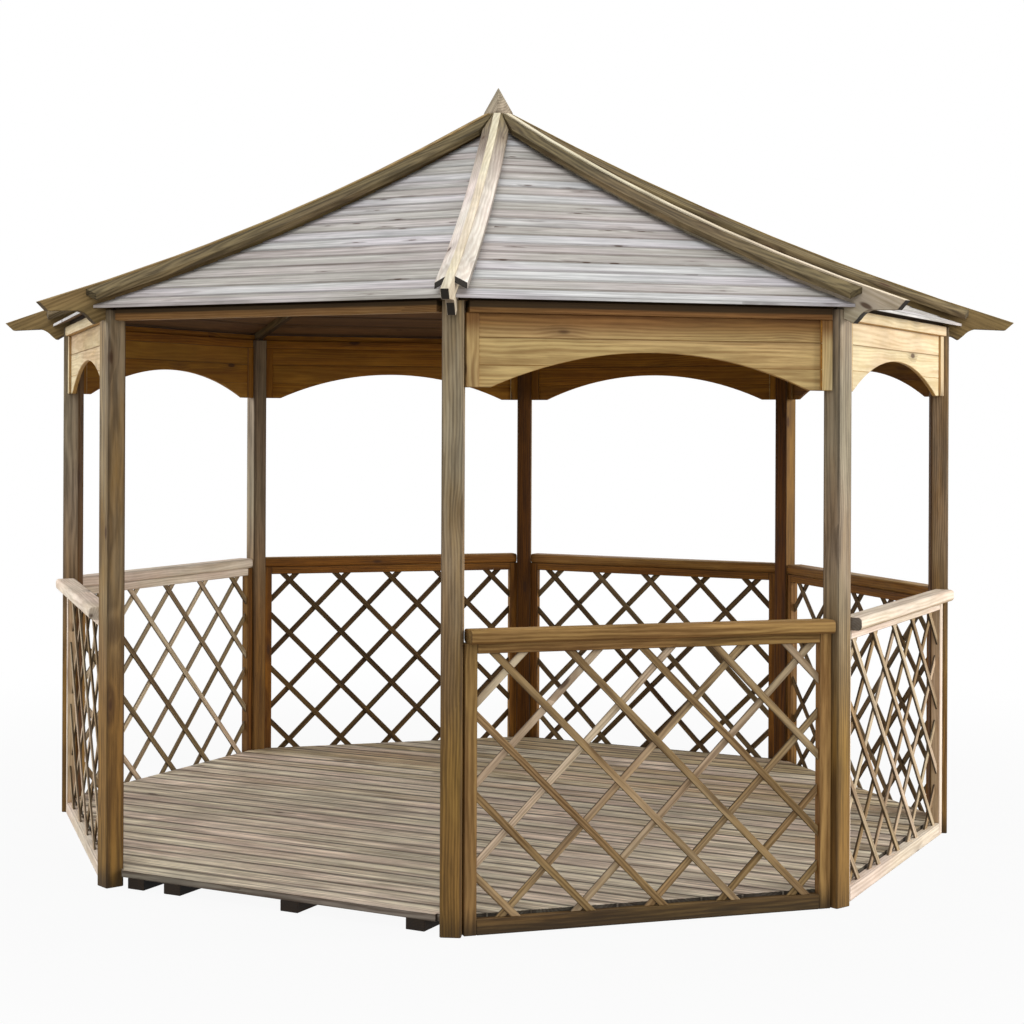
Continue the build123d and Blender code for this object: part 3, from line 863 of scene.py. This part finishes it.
# %% Board the roof
def roof_tree():
    tree, size = new_tree("roof_boards", roof_sizes)
    moved = {"Geometry": course_cubes(tree, size), "Position": roof_formula(tree, size)}
    boards = put(tree, "GeometryNodeSetPosition", moved).outputs[0]
    turned = put(tree, "GeometryNodeFlipFaces", {0: boards}).outputs[0]  # the formula mirrors the cubes
    close_tree(tree, around(tree, turned, 0, SIDES), ROOF_WOOD)
    return tree


roof_panels = [f"roof_panel_{number}" for number in range(1, SIDES + 1)]
roof = grow("roof_boards", roof_tree(), roof_sizes)
finish_piece(roof, ROOF_WOOD, roof_panels, arris=0.0012, seed=22, spread=0.3,
             tones=by_bay(0.35, 0.5, 0.35, 0.35, 0.35, 0.35, 0.35, 0.35))

# %% [markdown]
# ## Lattice
# Each side panel is a frame of rails and stiles round two layers of thin slats that cross at right angles.
# One tree makes the slats of a bay: a line of instances for each layer, turned by 45 degrees, trimmed to the
# window of the frame, and then copied round the closed bays. In the bay right of the entry, the inner layer
# sits 40 mm further along, so the same tree grows a second piece for that bay, with other values.

# %% Slats of a bay
WINDOW_HALF = PANEL_HALF - STILE
WINDOW_HEIGHT = PANEL_TOP - TOP_RAIL - BOTTOM_RAIL
PANEL_INSET = 0.007  # from the line of posts in to the inner side of a panel
SLATS_OUT = 0.0105  # from the line of posts out to where the two layers touch
SLAT_PITCH = 0.260  # measured upright
SLAT_DROP = 0.032  # from the top rail down to the highest crossing in the middle of a bay
HIDDEN_SLATS = 2  # of each layer that cross the middle of the bay above the top rail
slat_sizes = {
    "Slats": 9,
    "Pitch": SLAT_PITCH,
    "Highest": PANEL_TOP - TOP_RAIL - SLAT_DROP + HIDDEN_SLATS * SLAT_PITCH,
    "Width": 0.025,
    "Thickness": 0.008,
    "Length": 3.0,
    "Window Width": 2 * WINDOW_HALF,
    "Window Height": WINDOW_HEIGHT,
    "Window Middle": BOTTOM_RAIL + WINDOW_HEIGHT / 2,
    "Layers Meet": PANEL_IN + PANEL_INSET + SLATS_OUT,
    "Inner Layer Shift": 0.0,
    "First Bay": 2,
    "Bays": SIDES - 2,
}
print("window for the slats:", round(2 * WINDOW_HALF, 3), "by", round(WINDOW_HEIGHT, 3))


# %% Weave the lattice
def slat_layer(tree, size, lean, side, shift):
    """The slats of one layer, trimmed to the window. side is 0.5 in the outer layer and -0.5 in the inner."""
    out = math_node(tree, "MULTIPLY_ADD", size["Thickness"], side, size["Layers Meet"])
    out = math_node(tree, "MULTIPLY", out, -1.0)
    slat_size = point(tree, X=size["Length"], Y=size["Thickness"], Z=size["Width"])
    slat = put(tree, "GeometryNodeMeshCube", {0: slat_size}).outputs[0]
    first = point(tree, X=shift, Y=out, Z=size["Highest"])
    down = point(tree, Z=math_node(tree, "MULTIPLY", size["Pitch"], -1.0))
    slats = row_of(tree, slat, size["Slats"], first, down, rotation=(0, math.radians(lean), 0))
    window_size = point(tree, X=size["Window Width"], Y=1.0, Z=size["Window Height"])
    window = put(tree, "GeometryNodeMeshCube", {0: window_size}).outputs[0]
    middle = point(tree, Y=out, Z=size["Window Middle"])
    moved = {"Geometry": window, "Translation": middle}
    window = put(tree, "GeometryNodeTransform", moved).outputs[0]
    return common(tree, slats, window)


def lattice_tree():
    tree, size = new_tree("lattice_slats", slat_sizes)
    outer = slat_layer(tree, size, 45, 0.5, 0.0)
    inner = slat_layer(tree, size, -45, -0.5, size["Inner Layer Shift"])
    join = put(tree, "GeometryNodeJoinGeometry")
    tree.links.new(outer, join.inputs[0])
    tree.links.new(inner, join.inputs[0])
    close_tree(tree, around(tree, join.outputs[0], size["First Bay"], size["Bays"]), LATTICE_WOOD)
    return tree


panels = [f"lattice_panel_{bay}" for bay in SIDE_BAYS]
slat_tree = lattice_tree()
slats = grow("lattice_slats", slat_tree, slat_sizes)
finish_piece(slats, LATTICE_WOOD, panels[1:], seed=23, spread=0.3,
             tones=by_bay(0.5, 0.35, 0.6, 0.25, 0.4, -0.05, 1.2, 0.35))


# %% The lattice right of the entry
def front_slat_tone(centre):
    """The slats of the inner layer are paler, and most of all near the top."""
    out = (centre.x - centre.y) * math.sqrt(0.5)  # along the way that this bay faces
    inner = out < slat_sizes["Layers Meet"]
    return 0.05 + 0.95 * centre.z if inner else 0.2 + 0.3 * centre.z


front_sizes = {**slat_sizes, "Inner Layer Shift": 0.040, "First Bay": 1, "Bays": 1}
front_slats = grow("front_lattice_slats", slat_tree, front_sizes)
finish_piece(front_slats, LATTICE_WOOD, panels[:1], seed=27, spread=0.2,
             tones=front_slat_tone)


# %% [markdown]
# ## Frames of the side panels
# Rails and stiles are plain sawn bars. A helper takes their limits in the coordinates of a bay: along it,
# outward from the middle of the building, and up. The bay's turn then carries the bar to its side of the
# building. The stiles run a few millimetres into the corner beside the post, as a joiner would scribe them,
# so that no light shows between the two.

# %% Bars
def add_bar(mesh, bay, left, right, inner, outer, low, high):
    """A square-cut bar from its limits along the bay, outward and up."""
    size = Vector((right - left, outer - inner, high - low))
    middle = Vector(((left + right) / 2, -(inner + outer) / 2, (low + high) / 2))
    turn = Matrix.Rotation(bay * TURN, 4, "Z")
    place = turn @ Matrix.Translation(middle) @ Matrix.Diagonal((*size, 1))
    bmesh.ops.create_cube(mesh, size=1, matrix=place)


# %% Rails and stiles
POST_FIT = 0.007  # how far the stiles run on into the corner between the panel and its post
frames = bmesh.new()
for bay in SIDE_BAYS:
    for side in (-1, 1):
        left, right = sorted((side * (PANEL_HALF + POST_FIT), side * WINDOW_HALF))
        add_bar(frames, bay, left, right, PANEL_IN, PANEL_OUT, 0, PANEL_TOP)
    add_bar(frames, bay, -WINDOW_HALF, WINDOW_HALF, PANEL_IN, PANEL_OUT, 0, BOTTOM_RAIL)
    add_bar(frames, bay, -WINDOW_HALF, WINDOW_HALF, PANEL_IN, PANEL_OUT, PANEL_TOP - TOP_RAIL, PANEL_TOP)
frame_tones = by_bay(0.3, 0.0, 0.85, 0.2, 0.15, 0.15, 0.6, 0.85)


def frame_tone(centre):
    """The tone of the bay, apart from a few bars that differ from the rest of their frame."""
    place = place_of(centre)
    if 0.5 < place < 1.5 and (centre.z < 0.1 or place < 0.8):  # right of the entry: bottom rail, left stile
        return -0.4
    if -2.5 < place < -1.5 and centre.z > 0.8:  # second bay on the left: top rail, in low sun
        return 1.5
    # The far stile is given a tone below 0: painted shade beside its post.
    if -2.5 < place < -2.2:  # and its far stile
        return -0.25
    return frame_tones(centre)


panel_frames = piece_from("panel_frames", frames)
finish_piece(panel_frames, RAIL_WOOD, panels, arris=0.002, seed=24, tones=frame_tone)

# %% [markdown]
# ## Arched boards
# The arched panels are tongue and groove boards laid level between two short stiles. Boxes cut the panel's
# own solid into boards, so the arch keeps its exact curve, and the bevel on each long edge makes the
# V-shaped joint. The stiles are plain bars again, which lap the boards by a hair.

# %% Cut the arched panels into boards
JOINTS = (arch_low.z + 0.072, arch_low.z + 0.162)
GROOVE = 0.0001  # half of the gap between two boards
PAST = 0.01  # how far the outermost boxes reach past the panel
levels = [arch_low.z - PAST, *JOINTS, arch_high.z + PAST]
cutters = bmesh.new()
for bay in SIDE_BAYS:
    for low, high in zip(levels, levels[1:]):
        add_bar(cutters, bay, -WINDOW_HALF, WINDOW_HALF, PANEL_IN - PAST, PANEL_OUT + PAST,
                low + GROOVE, high - GROOVE)
cutter_piece = piece_from("cutters", cutters)
arches = [f"arch_panel_{bay}" for bay in SIDE_BAYS]
arch_boards = solid_copy("arch_boards", *arches)
cut = arch_boards.modifiers.new("boards", "BOOLEAN")
cut.operation = "INTERSECT"
cut.solver = "EXACT"
cut.object = cutter_piece
# Tones below 0 on the two arches at the back, which are seen from inside, are painted shade.
arch_tones = by_bay(0.2, 0.12, 0.85, -0.35, -0.12, 0.32, 0.5, 0.65)
finish_piece(arch_boards, ARCH_WOOD, arches, arris=0.002, seed=25, tones=arch_tones)
bpy.data.objects.remove(cutter_piece)

# %% Short stiles beside the arches
STILE_LAP = 0.001
arch_stiles = bmesh.new()
for bay in SIDE_BAYS:
    for side in (-1, 1):
        left, right = sorted((side * (WINDOW_HALF - STILE_LAP), side * (PANEL_HALF + POST_FIT)))
        add_bar(arch_stiles, bay, left, right, PANEL_IN, PANEL_OUT, arch_low.z, arch_high.z)


def arch_stile_tone(centre):
    """One stile is paler than its boards: the far one in the bay right of the entry."""
    return 0.45 if 1.0 < place_of(centre) < 1.5 else arch_tones(centre)


finish_piece(piece_from("arch_stiles", arch_stiles), ARCH_WOOD, arches, arris=0.002, seed=26,
             tones=arch_stile_tone)


# %% [markdown]
# ## Ground and light
# The ground is a wide pale disc. For the camera it fades to plain white away from the building, and near it
# keeps the soft shadow. An even sky and broad lamps on both sides light the wood, a weaker lamp in front
# fills in the shadows, and one overhead gives the roof its light.

# %% The plain background
def seen_directly(tree):
    """1 for a ray that shows the background itself: from the camera, off gloss or through glass."""
    path = put(tree, "ShaderNodeLightPath").outputs
    seen = math_node(tree, "MAXIMUM", path["Is Camera Ray"], path["Is Glossy Ray"])
    return math_node(tree, "MAXIMUM", seen, path["Is Transmission Ray"])


# %% Ground
GROUND_RADIUS = 60
GROUND_DROP = 0.001  # below the feet of the posts
GREY = (0.45, 0.45, 0.45, 1)
NEAR_WHITE = 0.93  # share of plain white close to the building
FADE = (2.0, 5.5)  # distances between which the share rises to 1


def ground_material():
    material = bpy.data.materials.new("pale_ground")
    material.use_nodes = True
    tree = material.node_tree
    tree.nodes.clear()
    place = put(tree, "ShaderNodeTexCoord").outputs["Object"]
    distance = put(tree, "ShaderNodeVectorMath", {0: place}, operation="LENGTH").outputs["Value"]
    share = math_node(tree, "MULTIPLY_ADD", ramp(tree, distance, *FADE), 1 - NEAR_WHITE, NEAR_WHITE)
    share = math_node(tree, "MULTIPLY", share, seen_directly(tree))
    plain = put(tree, "ShaderNodeBsdfDiffuse", {"Color": GREY}).outputs[0]
    white = put(tree, "ShaderNodeEmission", {"Color": (1, 1, 1, 1), "Strength": 1.0}).outputs[0]
    mixed = put(tree, "ShaderNodeMixShader", {0: share, 1: plain, 2: white}).outputs[0]
    put(tree, "ShaderNodeOutputMaterial", {"Surface": mixed})
    return material


disc = bmesh.new()
bmesh.ops.create_circle(disc, cap_ends=True, segments=96, radius=GROUND_RADIUS)
ground = piece_from("ground", disc)
ground.location.z = -GROUND_DROP
ground.data.materials.append(ground_material())

# %% Sky
SKY = 0.38
world = bpy.data.worlds.new("studio")
bpy.context.scene.world = world
world.use_nodes = True
tree = world.node_tree
tree.nodes.clear()
sky = put(tree, "ShaderNodeBackground", {"Color": (1, 1, 1, 1), "Strength": SKY}).outputs[0]
white = put(tree, "ShaderNodeBackground", {"Color": (1, 1, 1, 1), "Strength": 1.0}).outputs[0]
mixed = put(tree, "ShaderNodeMixShader", {0: seen_directly(tree), 1: sky, 2: white}).outputs[0]
put(tree, "ShaderNodeOutputWorld", {0: mixed})

# %% Lamps
AIM = Vector((0, 0, 1.2))  # the middle of the building


def lamp(name, compass, height, distance, size, power, colour):
    """A square soft lamp that faces the middle of the building, placed by its turn from the entry side."""
    light = bpy.data.lights.new(name, "AREA")
    light.size = size
    light.energy = power
    light.color = colour
    turn = math.radians(compass)
    holder = bpy.data.objects.new(name, light)
    bpy.context.scene.collection.objects.link(holder)
    holder.location = (distance * math.sin(turn), -distance * math.cos(turn), height)
    holder.rotation_euler = (AIM - holder.location).to_track_quat("-Z", "Y").to_euler()
    print(name, power, "W")


lamp("right_lamp", 110, 3.4, 9.0, 4.0, 620, (1.0, 0.97, 0.92))
lamp("left_lamp", -75, 4.0, 9.0, 4.0, 430, (1.0, 0.98, 0.95))
lamp("front_lamp", 22, 5.0, 11.0, 6.0, 310, (1.0, 0.99, 0.97))
lamp("top_lamp", 30, 10.0, 1.0, 8.0, 320, (0.96, 0.98, 1.0))

# %% [markdown]
# ## Camera
# The view is from the front right at eye height, a few paces back. The camera looks level, so that the posts
# stay upright, and a small shift of the lens does the framing that tipping the camera would otherwise do.

# %% Camera
HEADING = math.radians(27.957)
ROLL = math.radians(0.25)
STAND = (3.6427, -7.1557, 1.6569)  # where the camera is
forward = Vector((-math.sin(HEADING), math.cos(HEADING), 0))
level_right = Vector((math.cos(HEADING), math.sin(HEADING), 0))
level_up = Vector((0, 0, 1))
right = level_right * math.cos(ROLL) + level_up * math.sin(ROLL)
up = level_up * math.cos(ROLL) - level_right * math.sin(ROLL)
lens = bpy.data.cameras.new("camera")
lens.lens = 67.995
lens.sensor_width = 36
lens.shift_x = 0.0469
lens.shift_y = -0.0884
camera = bpy.data.objects.new("camera", lens)
bpy.context.scene.collection.objects.link(camera)
turned = Matrix((right, up, -forward)).transposed().to_4x4()
camera.matrix_world = Matrix.Translation(STAND) @ turned
bpy.context.scene.camera = camera
bpy.context.scene.view_settings.view_transform = "Standard"
print("camera", round(math.hypot(STAND[0], STAND[1]), 2), "from the middle of the building")
